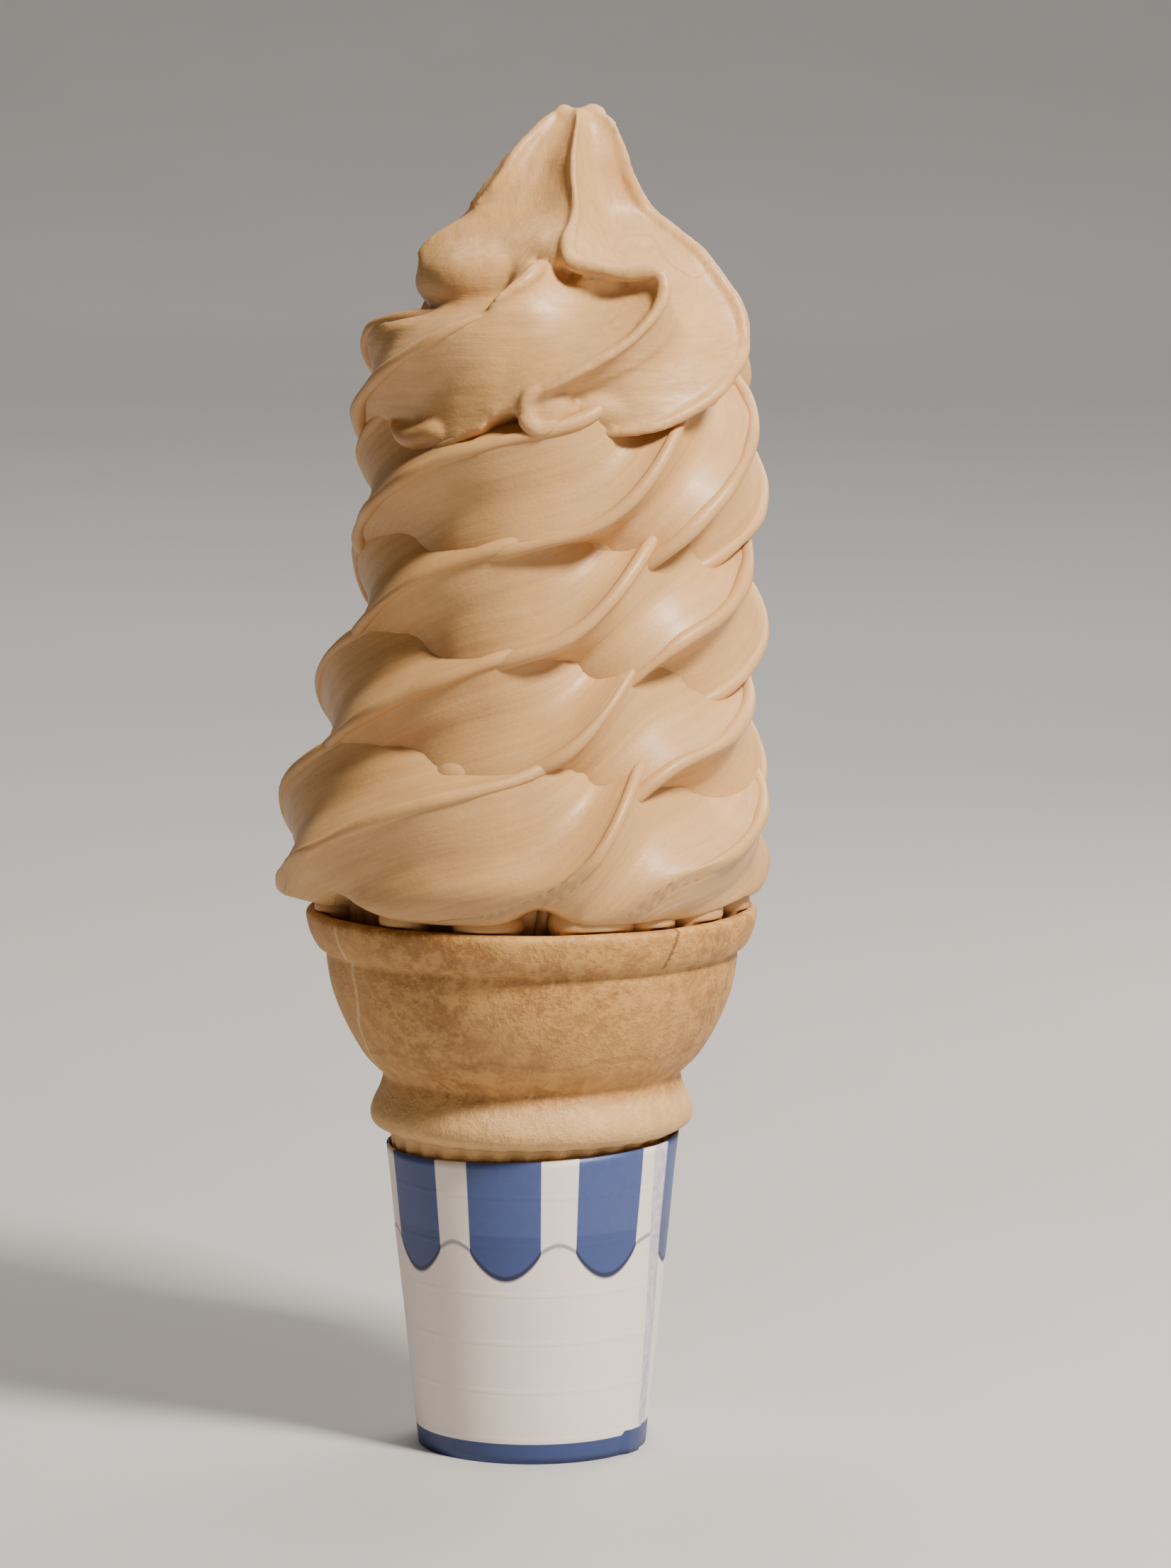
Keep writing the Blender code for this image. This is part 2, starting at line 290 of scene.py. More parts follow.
# outside of the cup from the foot up, radius and height, in smooth runs between corners
CUP_RUNS = [
    [(0.0150, 0.0000), (0.0154, 0.0004)],
    [(0.0154, 0.0004), (0.0199, 0.0440), (0.0202, 0.0450)],
    [(0.0202, 0.0450), (0.0212, 0.0455), (0.0224, 0.0463), (0.0228, 0.0477), (0.0224, 0.0493),
     (0.0216, 0.0510), (0.0211, 0.0527), (0.0213, 0.0535), (0.0222, 0.0544), (0.0240, 0.0564),
     (0.0263, 0.0604), (0.0280, 0.0647), (0.0288, 0.0685), (0.0290, 0.0708)],
    [(0.0290, 0.0708), (0.0296, 0.0711), (0.0303, 0.0716), (0.0312, 0.0733), (0.0317, 0.0752),
     (0.0317, 0.0762), (0.0312, 0.0767), (0.0305, 0.0768), (0.0299, 0.0765), (0.0295, 0.0755),
     (0.0290, 0.0733), (0.0266, 0.0665), (0.0240, 0.0604), (0.0192, 0.0540), (0.0180, 0.0475),
     (0.0136, 0.0035)],
]
CUP_INSIDE = [
    (0.0299, 0.0767), (0.0291, 0.0735), (0.0266, 0.0665), (0.0240, 0.0604), (0.0192, 0.0540),
    (0.0180, 0.0475), (0.0136, 0.0035),
]
FLOOR_TOP_Z = 0.0035
# points further out than this from the inner wall belong to the outside
WALL_HALF = 0.0008
# marks on the wafer: a line's lower and upper end as height and azimuth, its heights, its half-width
# pale band: the ring's own paler bake, carried down over the neck below it as painted light where the ring
# shades the neck
PALE_RING_AND_LIT_NECK = (0.0420, 0.0515)
MOULD_LOW = (0.0530, -72.0)
MOULD_HIGH = (0.0660, -58.5)
MOULD_HEIGHTS = (0.0540, 0.0762)
MOULD_HALF = 1.4
CRACK_LOW = (0.0712, 37.0)
CRACK_HIGH = (0.0767, 40.0)
CRACK_HEIGHTS = (0.0712, 0.0790)
CRACK_HALF = 0.7
BATTER_Z = 0.0578
BATTER_HALF = 0.00055
BATTER_SWELL = 0.0005
BATTER_SWELLS_A_DEGREE = 0.16
# how strongly each mark colours the wafer, and how far it stands up or is cut in
GOLD_SHOW = 0.7
# share of the pale band, which over the neck is painted light
RING_AND_LIT_NECK_SHOW = 0.5
MOULD_SHOW = 0.5
MOULD_RAISED = 2.0
CRACK_SHOW = 0.75
CRACK_CUT = 6.0
BATTER_SHOW = 0.35
BATTER_CUT = 1.5

# Paper jacket
JACKET_TOP_Z = 0.0438
JACKET_TOP_R = 0.0207
BASE_R = 0.0162
PAPER = 0.00045
JACKET_STEPS = 360
JACKET_ROWS = 40
JACKET_TOP_TILT = 0.0009
JACKET_TILT_FROM = 10.0
# what stays open between the two ends of the paper, in degrees, and its thickness as a share of its step
JACKET_OPEN = 0.001
SHEET_SHARE = 0.9
# how uneven the paper is: waves round it and height, waves a metre upwards, how fast they grow from the foot
PAPER_WAVES = (1.4, 0.00012)
PAPER_WAVES_UP = 60.0
PAPER_WAVES_GROW = 6.0
LAP_EDGE = 65.0
LAP_WIDTH = 15.0
LAP_RAMP = 5.0

# Print on the jacket, angles in degrees and heights in metres
STRIPE_PERIOD = 45.0
STRIPE_CENTRE = -10.9
STRIPE_HALF = 15.1
SCALLOP_Z = 0.0306
SCALLOP_DEPTH = 0.0040
SCALLOP_POWER = 0.75
ARCH_RISE = 0.0011
# half-widths of the thin line along the awning's edge, and the heights of the dark line over it
EDGE_LINE = (0.00012, 0.00052)
INNER_LINE = (-0.0001, 0.00060)
FOLD_Z = 0.0329
# the band at the foot, which stands higher past the lap, from one azimuth to the next
BAND_Z = 0.0029
BAND_STEP = 0.0006
BAND_STEP_AT = (50.0, 52.0)
CREASE_EVERY = 0.0070
CREASE_HALF = 0.0005
# strip of worn glue beside the lap: lower and upper end as height and azimuth, and as height and half-width
GLUE_LOW = (0.0, 69.5)
GLUE_HIGH = (0.0442, 59.7)
GLUE_HALF_LOW = (0.0, 6.8)
GLUE_HALF_HIGH = (0.0442, 5.2)
GLUE_FROM = (0.0034, 0.0040)
# how strongly the print's parts cover what is under them
FLAP_SHOW = 0.45
ARCH_SHOW = 0.70
NAVY_SHOW = 0.9
GLUE_SHOW = 0.8


def catmull(rows, t):
    """A smooth value between the rows of a table, t counted in rows."""
    last = len(rows) - 1
    i = min(max(int(floor(t)), 0), last - 1)
    f = t - i
    p1 = Vector(rows[i])
    p2 = Vector(rows[i + 1])
    p0 = Vector(rows[i - 1]) if i > 0 else 2 * p1 - p2
    p3 = Vector(rows[i + 2]) if i + 2 <= last else 2 * p2 - p1
    square = (2 * p0 - 5 * p1 + 4 * p2 - p3) * f * f
    cube = (3 * p1 - p0 - 3 * p2 + p3) * f ** 3
    return 0.5 * (2 * p1 + (p2 - p0) * f + square + cube)


def smooth_run(points, per_step):
    """Points on a smooth line through the given ones."""
    if len(points) < 3:
        return [Vector(p) for p in points]
    count = (len(points) - 1) * per_step
    return [catmull(points, k / per_step) for k in range(count + 1)]


def finish_mesh(name, bm, material, slot, *nodes):
    """Put a finished bmesh into the scene as a piece that stands for its CAD nodes."""
    mesh = bpy.data.meshes.new(name)
    bm.to_mesh(mesh)
    bm.free()
    mesh.polygons.foreach_set("use_smooth", [True] * len(mesh.polygons))
    mesh.materials.append(material)
    piece = bpy.data.objects.new(name, mesh)
    bpy.context.scene.collection.objects.link(piece)
    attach(piece, "root")
    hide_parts(*nodes)
    return piece


def spin_outline(bm, points, steps):
    """Turn an outline of radius and height pairs about Z and close it."""
    verts = [bm.verts.new((r, 0, z)) for r, z in points]
    edges = [bm.edges.new(pair) for pair in zip(verts, verts[1:])]
    bmesh.ops.spin(bm, geom=verts + edges, cent=(0, 0, 0), axis=(0, 0, 1),
                   angle=tau, steps=steps, use_merge=True)
    bmesh.ops.remove_doubles(bm, verts=bm.verts, dist=1e-6)
    bmesh.ops.holes_fill(bm, edges=[e for e in bm.edges if e.is_boundary], sides=0)
    bmesh.ops.recalc_face_normals(bm, faces=bm.faces)


def crest_angles():
    """Angles round the rope, closer together at the crests of the star."""
    angles = []
    for k in range(AROUND + 1):
        sector = k * POINTS / AROUND
        crowd = CREST_CROWD * sin(tau * sector) / tau
        angles.append(tau / POINTS * (sector - crowd))
    return angles


def groove(angle):
    """Share of the rope radius left at one angle of the star."""
    t = (angle * POINTS / tau) % 1.0
    s = max(0.0, sin(pi * t)) ** GROOVE_POWER
    soft = sqrt(s * s + CREST_ROUND ** 2) - CREST_ROUND
    fold = FOLD_HEIGHT * exp(-(((t - FOLD_PLACE) / FOLD_WIDTH) ** 2))
    bead = BEAD_HEIGHT * exp(-((min(t, 1.0 - t) / BEAD_WIDTH) ** 2))
    return 1.0 - BEAD_HEIGHT - GROOVE * soft + fold + bead


def lag(turn):
    """Turn of the rope about its own line at one place of the coil."""
    total = 0.0
    shifts = (-2, -1, 0, 1, 2)
    for shift in shifts:
        place = turn + shift * LAG_BLUR / 360.0
        row = LAGS[min(max(floor(place + 0.5), 1), len(LAGS)) - 1]
        azimuth = (place * 360.0 + 180.0) % 360.0 - 180.0
        step = sum(1 for at in LAG_AZIMUTHS[1:-1] if at <= azimuth)
        share = (azimuth - LAG_AZIMUTHS[step]) / (LAG_AZIMUTHS[step + 1] - LAG_AZIMUTHS[step])
        total += row[step] + (row[step + 1] - row[step]) * share
    return radians(total / len(shifts))


def roll_tube(bm, rings, flow=None):
    """A closed tube through rings of points; each point may bring its place in the rope."""
    around = len(rings[0])
    old = set(bm.verts)
    bmesh.ops.create_grid(bm, x_segments=around, y_segments=len(rings) - 1, size=1.0)
    verts = [v for v in bm.verts if v not in old]
    for i, ring in enumerate(rings):
        for j in range(around + 1):
            vert = verts[i * (around + 1) + j]
            point = ring[j % around]
            if flow:
                vert.co, vert[flow] = point
            else:
                vert.co = point
    bmesh.ops.remove_doubles(bm, verts=verts, dist=1e-6)
    bmesh.ops.holes_fill(bm, edges=[e for e in bm.edges if e.is_boundary], sides=0)
    bmesh.ops.recalc_face_normals(bm, faces=bm.faces)


def coil_place(row, turn, coil):
    """A point of the coil's centre line, from a row of its table and a radius."""
    level, drop, lift = row[:3]
    shift = row[-1]
    phi = turn * tau
    return Vector((shift + coil * sin(phi), -coil * cos(phi), level - drop * sin(phi) + lift * cos(phi)))


def pressed_top(turn, up):
    """Height over the rope's middle, held down where the peak lies on the last turn."""
    if turn < PRESSED_TOP[0][0]:
        return up
    step = sum(1 for at, height in PRESSED_TOP[1:-1] if at <= turn)
    (low, low_top), (high, high_top) = PRESSED_TOP[step], PRESSED_TOP[step + 1]
    knee = low_top + (high_top - low_top) * min(1.0, (turn - low) / (high - low)) - PRESSED_SOFT
    if up <= knee:
        return up
    return knee + PRESSED_SOFT * (1.0 - exp((knee - up) / PRESSED_SOFT))


def rope_rings(first, last):
    """Star rings of the rope between two turns of the coil, with their place in the rope."""
    angles = crest_angles()[:-1]
    star = [groove(angle) for angle in angles]
    rings = []
    count = int((last - first) * PER_TURN)
    for i in range(count + 1):
        turn = first + (last - first) * i / count
        row = catmull(TURNS, turn)
        radius, coil = row[3], row[4]
        phi = turn * tau
        centre = coil_place(row, turn, coil)
        outward = Vector((sin(phi), -cos(phi), 0))
        own = phi - lag(turn)
        ring = []
        for angle, share in zip(angles, star):
            r = radius * share
            up = TALL * r * sin(own - angle)
            out = r * cos(own - angle) - SAG * up
            held = pressed_top(turn, up)
            out -= PRESSED_IN * (up - held) * max(0.0, out) / radius
            place = Vector((r * sin(angle), r * cos(angle), turn * tau * coil * STREAK_STRETCH))
            ring.append((centre + out * outward + Vector((0, 0, held)), place))
        rings.append(ring)
    return rings


def peak_rows():
    """The peak's rings as rows: centre, arm to the front ridge, arm square to it, spread, depth of groove."""
    rows = []
    for front, left, right in BEND:
        front, left, right = Vector(front), Vector(left), Vector(right)
        centre = right + left - front
        arm = front - centre
        side = (left - centre - 0.5 * arm) / sin(radians(60.0))
        rows.append((*centre, *arm, *side, 0.0, 1.0))
    for x, y, z, radius, azimuth, spread in RISE:
        turn = radians(azimuth)
        arm = radius * Vector((sin(turn), -cos(turn), 0.0))
        side = radius * Vector((-cos(turn), -sin(turn), 0.0))
        rows.append((x, y, z, *arm, *side, spread, PEAK_GROOVE))
    return rows


def peak_rings():
    """Star rings that tip over from the last turn and rise to the tip."""
    angles = crest_angles()[:-1]
    rows = peak_rows()
    rings = []
    for i in range((len(rows) - 1) * PER_PEAK_STEP + 1):
        row = catmull(rows, i / PER_PEAK_STEP)
        centre, arm, side = Vector(row[0:3]), Vector(row[3:6]), Vector(row[6:9])
        ring = []
        for angle in angles:
            share = 1.0 - row[10] * (1.0 - groove(angle))
            away = (degrees(angle) + 60.0 + 180.0) % 360.0 - 180.0
            place = radians(row[9]) * exp(-((away / SPREAD_REACH) ** 2)) - angle
            ring.append(centre + share * (cos(place) * arm + sin(place) * side))
        rings.append(ring)
    return rings


def cord_rings(path, radii, around):
    """Round rings along a smooth path."""
    rings = []
    for i, centre in enumerate(path):
        ahead = path[min(i + 1, len(path) - 1)] - path[max(i - 1, 0)]
        to_line = Vector((0, 0, 1)).rotation_difference(ahead)
        ring = [to_line @ Vector((radii[i] * cos(tau * j / around), radii[i] * sin(tau * j / around), 0))
                for j in range(around)]
        rings.append([centre + point for point in ring])
    return rings


def seam_rings():
    """A plain cord half a turn's height above the rope, so that no slot stays open between turns."""
    path = []
    radii = []
    for i in range(int((SWIRL_TURN - START_TURN) * SEAM_PER_TURN) + 1):
        turn = START_TURN + i / SEAM_PER_TURN
        under = catmull(TURNS, turn)
        over = catmull(TURNS, turn + 1.0)
        radius = SEAM_REACH * min(under[3], over[3])
        reach = min(under[4] + SEAM_REACH * under[3], over[4] + SEAM_REACH * over[3])
        path.append(coil_place(0.5 * (under + over), turn, reach - radius))
        radii.append(radius)
    return cord_rings(path, radii, SEAM_AROUND)


def inside_radius(z):
    """Radius of the cup's inner wall at a height."""
    for (r_up, z_up), (r_low, z_low) in zip(CUP_INSIDE, CUP_INSIDE[1:]):
        if z >= z_low:
            t = min(1.0, (z - z_low) / (z_up - z_low))
            return r_low + (r_up - r_low) * t
    return CUP_INSIDE[-1][0]


def keep_off_cup(co):
    """Lift a point off the rim, or draw it in from the cup's wall."""
    flat = co.xy.length
    if co.z > RIM_Z + GAP:
        return
    limit = inside_radius(co.z) - GAP
    if flat <= limit:
        return
    if flat > inside_radius(RIM_Z):
        co.z = RIM_Z + RIM_CLEAR
    else:
        co.xy *= limit / flat


def lift_underside(co):
    """Round the bottom turn up and away from the rim of the cup."""
    azimuth = degrees(atan2(co.x, -co.y))
    free = exp(-(((azimuth - OVERHANG_MOST_AT) / OVERHANG_WIDTH) ** 2))
    widest = CUP_R - GAP + OVERHANG * free + OVERHANG_SLOPE * max(0.0, co.z - RIM_Z)
    if co.xy.length > widest:
        co.xy *= widest / co.xy.length
    past = co.xy.length - inside_radius(RIM_Z) + UNDERSIDE_REACH
    if past <= 0.0:
        return
    arch = sum(height * exp(-(((azimuth - at) / width) ** 2)) for at, width, height in UNDERSIDE_ARCHES)
    lowest = RIM_Z + RIM_CLEAR + UNDERSIDE_RISE * past + arch
    short = lowest + UNDERSIDE_SOFT - co.z
    if short > 0.0:
        co.z = lowest + UNDERSIDE_SOFT * exp(-short / UNDERSIDE_SOFT)


def waves(place, size, shift=(0.0, 0.0, 0.0)):
    """Smooth noise at a place, from its waves a metre and its height."""
    per_metre, height = size
    return noise.noise(place * per_metre + Vector(shift)) * height


def unevenness(co, flow):
    """How far the poured cream stands out of the plain rope, in metres."""
    broad = waves(co, BROAD_WAVES)
    middle = waves(co, MIDDLE_WAVES, MIDDLE_SHIFT)
    streak = waves(flow, FINE_STREAKS) + waves(flow, BROAD_STREAKS)
    return broad + middle + streak


def add_lobe(bm, place, half, rings, turn=0.0):
    """A rounded lobe of cream from its place and half-sizes, turned about its upright axis."""
    bmesh.ops.create_uvsphere(bm, u_segments=LOBE_AROUND, v_segments=rings, radius=1.0,
                              matrix=Matrix.LocRotScale(place, Euler((0, 0, turn)), half))


def build_swirl(material):
    """The coiled rope, from just inside the cup up to the last turn."""
    bm = bmesh.new()
    flow = bm.verts.layers.float_vector.new("flow")
    roll_tube(bm, rope_rings(START_TURN, SWIRL_TURN), flow)
    bm.normal_update()
    for vert in bm.verts:
        vert.co += vert.normal * unevenness(vert.co, vert[flow])
        if vert[flow].z > 0.0:
            lift_underside(vert.co)
        keep_off_cup(vert.co)
    return finish_mesh("swirl", bm, material, "soft_serve", "soft_serve")


def build_ridges(material):
    """A rounded bead along every crest of the swirl."""
    bm = bmesh.new()
    flow = bm.verts.layers.float_vector.new("flow")
    rings = rope_rings(START_TURN, RIDGE_TURN)
    for crest in range(POINTS):
        index = crest * AROUND // POINTS
        path = []
        radii = []
        for i, ring in enumerate(rings):
            co, place = ring[index]
            middle = sum((point for point, _ in ring), Vector()) / len(ring)
            outward = (co - middle).normalized()
            path.append(co + outward * (unevenness(co, place) - RIDGE_SUNK))
            fade = min(1.0, (len(rings) - i) / RIDGE_FADE)
            radii.append(RIDGE_R * fade * (1.0 + waves(co, RIDGE_SWELL)))
        tube = []
        for round_ring, ring in zip(cord_rings(path, radii, RIDGE_AROUND), rings):
            place = ring[index][1]
            tube.append([(point, place) for point in round_ring])
        roll_tube(bm, tube, flow)
    for vert in bm.verts:
        if vert[flow].z > 0.0:
            lift_underside(vert.co)
        keep_off_cup(vert.co)
    return finish_mesh("ridges", bm, material, "soft_serve", "soft_serve")


def fuse(bm, voxel, rounds):
    """Overlapping solids fused into one skin."""
    mesh = bpy.data.meshes.new("fusing")
    bm.to_mesh(mesh)
    bm.free()
    thing = bpy.data.objects.new("fusing", mesh)
    bpy.context.scene.collection.objects.link(thing)
    remesh = thing.modifiers.new("Fuse", "REMESH")
    remesh.mode = "VOXEL"
    remesh.voxel_size = voxel
    relax = thing.modifiers.new("Relax", "SMOOTH")
    relax.factor = 0.5
    relax.iterations = rounds
    evaluated = thing.evaluated_get(bpy.context.evaluated_depsgraph_get())
    fused = bmesh.new()
    fused.from_mesh(evaluated.to_mesh())
    evaluated.to_mesh_clear()
    bpy.data.objects.remove(thing)
    bpy.data.meshes.remove(mesh)
    return fused


def places_in_peak(co):
    """A point's place in the rope round the coil and in the rope upwards, and the share of the second."""
    past = co.z - RISE[0][2]
    share = min(1.0, max(0.0, (past + waves(co, PEAK_WANDER)) / PEAK_BLEND + 0.5))
    round_coil = Vector((co.xy.length, co.z, atan2(co.x, -co.y) * TURNS[-1][4] * STREAK_STRETCH))
    upwards = Vector((co.x, co.y, past * STREAK_STRETCH))
    return round_coil, upwards, share


def roll_cord(bm, line, radius):
    """A round cord along a line, thinner towards its ends."""
    path = smooth_run(line, CORD_STEPS)
    radii = [radius * sqrt(max(0.05, sin(pi * i / (len(path) - 1)))) for i in range(len(path))]
    roll_tube(bm, cord_rings(path, radii, CORD_AROUND))


def build_peak(material):
    """The last turn and the peak that it is drawn up into."""
    bm = bmesh.new()
    last_turn = [[co for co, place in ring] for ring in rope_rings(PEAK_TURN, END_TURN)]
    rising = peak_rings()
    roll_tube(bm, last_turn[:-1] + rising)
    front, right, left = 0, AROUND // POINTS, -AROUND // POINTS
    left_ends = PER_PEAK_STEP * (LEFT_RIDGE_ENDS + 1)
    left_returns = PER_PEAK_STEP * (len(BEND) + LEFT_RIDGE_RETURNS)
    step = PER_PEAK_STEP // 3
    for ridge, stretch in ((front, rising[::step]), (right, rising[::step]),
                           (left, rising[:left_ends:step]), (left, rising[left_returns::step])):
        roll_cord(bm, [ring[ridge] for ring in stretch], PEAK_BEAD_R)
    roll_cord(bm, CURL, CURL_R)
    roll_cord(bm, UNDERFOLD, UNDERFOLD_R)
    for place, half in PEAK_HEART + EARS:
        add_lobe(bm, place, half, FUSED_LOBE_RINGS)
    bm = fuse(bm, PEAK_VOXEL, RELAX_ROUNDS)
    for low, high, rounds in SOFT_PLACES:
        soft = [v for v in bm.verts if all(a < c < b for a, c, b in zip(low, v.co, high))]
        for _ in range(rounds):
            bmesh.ops.smooth_vert(bm, verts=soft, factor=0.5,
                                  use_axis_x=True, use_axis_y=True, use_axis_z=True)
    flow = bm.verts.layers.float_vector.new("flow")
    bm.normal_update()
    for vert in bm.verts:
        round_coil, upwards, share = places_in_peak(vert.co)
        vert[flow] = upwards if share > 0.5 else round_coil
        out = unevenness(vert.co, round_coil) * (1.0 - share) + unevenness(vert.co, upwards) * share
        vert.co += vert.normal * out
    return finish_mesh("peak", bm, material, "soft_serve", "soft_serve")


def build_filling(material):
    """Soft serve down inside the cup, and what closes the inside of the coil."""
    outline = [(0.0, FLOOR_TOP_Z + GAP)]
    for r, z in reversed(CUP_INSIDE):
        if z < FILLING_TOP_Z:
            outline.append((r - GAP, max(z, FLOOR_TOP_Z + GAP)))
    outline += [(inside_radius(FILLING_TOP_Z) - GAP, FILLING_TOP_Z), (CORE_R, FILLING_TOP_Z)]
    outline += [(CORE_R, CORE_TOP_Z), (0.0, CORE_TOP_Z)]
    bm = bmesh.new()
    spin_outline(bm, outline, CORE_STEPS)
    for vert in bm.verts:
        if vert.co.z > FILLING_TOP_Z + GAP:
            vert.co.x += CORE_SHIFT
    roll_tube(bm, seam_rings())
    for azimuth, half_width, half_height in SQUEEZED:
        turn = radians(azimuth)
        place = (SQUEEZED_R * sin(turn), -SQUEEZED_R * cos(turn), RIM_Z + SQUEEZED_LIFT * half_height)
        add_lobe(bm, place, (half_width, SQUEEZED_DEPTH, half_height), LOBE_RINGS, turn)
    for place, half in KNOBS:
        add_lobe(bm, place, half, LOBE_RINGS)
    for vert in bm.verts:
        keep_off_cup(vert.co)
    return finish_mesh("filling", bm, material, "soft_serve", "soft_serve")


def build_cup(material):
    """The wafer cup, turned from its outline, with small ribs under the ring."""
    outline = [Vector((0.0, 0.0))]
    for run in CUP_RUNS:
        outline += smooth_run(run, CUP_RUN_STEPS)
    outline.append(Vector((0.0, FLOOR_TOP_Z)))
    bm = bmesh.new()
    spin_outline(bm, outline, CUP_STEPS)
    for vert in bm.verts:
        flat = vert.co.xy.length
        if flat < 1e-4:
            continue
        azimuth = atan2(vert.co.x, -vert.co.y)
        outside = flat > inside_radius(vert.co.z) + WALL_HALF
        if outside and RIB_LOW_Z < vert.co.z < RIB_HIGH_Z:
            share = sin(pi * (vert.co.z - RIB_LOW_Z) / (RIB_HIGH_Z - RIB_LOW_Z))
            dip = 0.5 - 0.5 * cos(RIBS * azimuth)
            vert.co.xy *= (flat - RIB_DEPTH * dip * share) / flat
        if vert.co.z > FOOT_TRUE_Z:
            wave = waves(vert.co, CUP_BROAD_WAVES) + waves(vert.co, CUP_FINE_WAVES)
            vert.co.xy *= (vert.co.xy.length + wave) / vert.co.xy.length
            vert.co.z += waves(vert.co, CUP_LEVEL_WAVES, CUP_LEVEL_SHIFT)
    return finish_mesh("wafer_cup", bm, material, "wafer_cone", "wafer_cone")


def lap_height(azimuth_deg):
    """How far the jacket's overlap stands proud at an azimuth."""
    past = (azimuth_deg - LAP_EDGE + LAP_WIDTH) % 360.0
    if past >= LAP_WIDTH:
        return 0.0
    return PAPER * min(1.0, past / LAP_RAMP)


def build_jacket(material):
    """The conical paper sleeve with its overlap, a little uneven."""
    bm = bmesh.new()
    bmesh.ops.create_grid(bm, x_segments=JACKET_STEPS, y_segments=JACKET_ROWS, size=1.0)
    for vert in bm.verts:
        turn = 0.5 * (vert.co.x + 1.0)
        level = 0.5 * (vert.co.y + 1.0)
        azimuth = LAP_EDGE + JACKET_OPEN + (360.0 - 2.0 * JACKET_OPEN) * turn
        across, ahead = sin(radians(azimuth)), cos(radians(azimuth))
        z = level * (JACKET_TOP_Z + JACKET_TOP_TILT * sin(radians(azimuth - JACKET_TILT_FROM)))
        r = BASE_R + (JACKET_TOP_R - BASE_R) * z / JACKET_TOP_Z + lap_height(azimuth)
        bend = waves(Vector((across, ahead, z * PAPER_WAVES_UP)), PAPER_WAVES)
        r += bend * min(1.0, PAPER_WAVES_GROW * level)
        vert.co = (r * across, -r * ahead, z)
    bmesh.ops.remove_doubles(bm, verts=bm.verts, dist=1e-6)
    bmesh.ops.recalc_face_normals(bm, faces=bm.faces)
    bmesh.ops.solidify(bm, geom=bm.faces[:], thickness=PAPER * SHEET_SHARE)
    bmesh.ops.recalc_face_normals(bm, faces=bm.faces)
    return finish_mesh("jacket", bm, material, "paper_jacket", "paper_jacket")


def make(tree, kind, inputs=(), **settings):
    """A node with its settings; an input given as a socket is linked."""
    new = tree.nodes.new(kind)
    for key, value in settings.items():
        setattr(new, key, value)
    for key, value in dict(inputs).items():
        if isinstance(value, bpy.types.NodeSocket):
            tree.links.new(value, new.inputs[key])
        else:
            new.inputs[key].default_value = value
    return new


def calc(tree, operation, *values):
    """Output of a Math node."""
    return make(tree, "ShaderNodeMath", dict(enumerate(values)), operation=operation).outputs[0]


def mix(tree, share, first, second):
    """Output of a colour Mix node."""
    node = make(tree, "ShaderNodeMix", data_type="RGBA")
    for index, value in ((0, share), (6, first), (7, second)):
        if isinstance(value, bpy.types.NodeSocket):
            tree.links.new(value, node.inputs[index])
        else:
            node.inputs[index].default_value = value
    return node.outputs[2]


def ramp(tree, value, low, high):
    """0 below low and 1 above high, smooth between."""
    return make(tree, "ShaderNodeMapRange", {0: value, 1: low, 2: high, 3: 0.0, 4: 1.0},
                interpolation_type="SMOOTHSTEP").outputs[0]


def follow(tree, value, start, end):
    """A value that changes evenly with another one, from a first pair of both to a second pair."""
    return make(tree, "ShaderNodeMapRange",
                {0: value, 1: start[0], 2: end[0], 3: start[1], 4: end[1]}).outputs[0]


def new_group(name, inputs, outputs):
    """An empty shader node group with its sockets."""
    group = bpy.data.node_groups.new(name, "ShaderNodeTree")
    for label, kind in inputs:
        group.interface.new_socket(label, in_out="INPUT", socket_type=kind)
    for label, kind in outputs:
        group.interface.new_socket(label, in_out="OUTPUT", socket_type=kind)
    return group, group.nodes.new("NodeGroupInput"), group.nodes.new("NodeGroupOutput")


def speckle_group():
    """Mottling at two sizes: a mask from 0 to 1."""
    group, start, end = new_group(
        "speckle",
        [("Position", "NodeSocketVector"), ("Patch Scale", "NodeSocketFloat"),
         ("Grain Scale", "NodeSocketFloat"), ("Grain Share", "NodeSocketFloat"),
         ("Low", "NodeSocketFloat"), ("High", "NodeSocketFloat")],
        [("Mask", "NodeSocketFloat"), ("Grain", "NodeSocketFloat")])
    patch = make(group, "ShaderNodeTexNoise", {"Vector": start.outputs[0], "Scale": start.outputs[1],
                                               "Detail": 5.0, "Roughness": 0.6})
    grain = make(group, "ShaderNodeTexNoise", {"Vector": start.outputs[0], "Scale": start.outputs[2],
                                               "Detail": 3.0, "Roughness": 0.7})
    part = calc(group, "MULTIPLY", grain.outputs[0], start.outputs[3])
    rest = calc(group, "SUBTRACT", 1.0, start.outputs[3])
    both = calc(group, "ADD", part, calc(group, "MULTIPLY", patch.outputs[0], rest))
    group.links.new(ramp(group, both, start.outputs[4], start.outputs[5]), end.inputs[0])
    group.links.new(grain.outputs[0], end.inputs[1])
    return group


def round_place_group():
    """Azimuth in degrees and height of a point, about the Z axis."""
    group, start, end = new_group(
        "round_place",
        [("Position", "NodeSocketVector")],
        [("Azimuth", "NodeSocketFloat"), ("Height", "NodeSocketFloat")])
    split = make(group, "ShaderNodeSeparateXYZ", {0: start.outputs[0]})
    back = calc(group, "MULTIPLY", split.outputs[1], -1.0)
    turn = calc(group, "ARCTAN2", split.outputs[0], back)
    group.links.new(calc(group, "DEGREES", turn), end.inputs[0])
    group.links.new(split.outputs[2], end.inputs[1])
    return group


SPECKLE = speckle_group()
ROUND_PLACE = round_place_group()


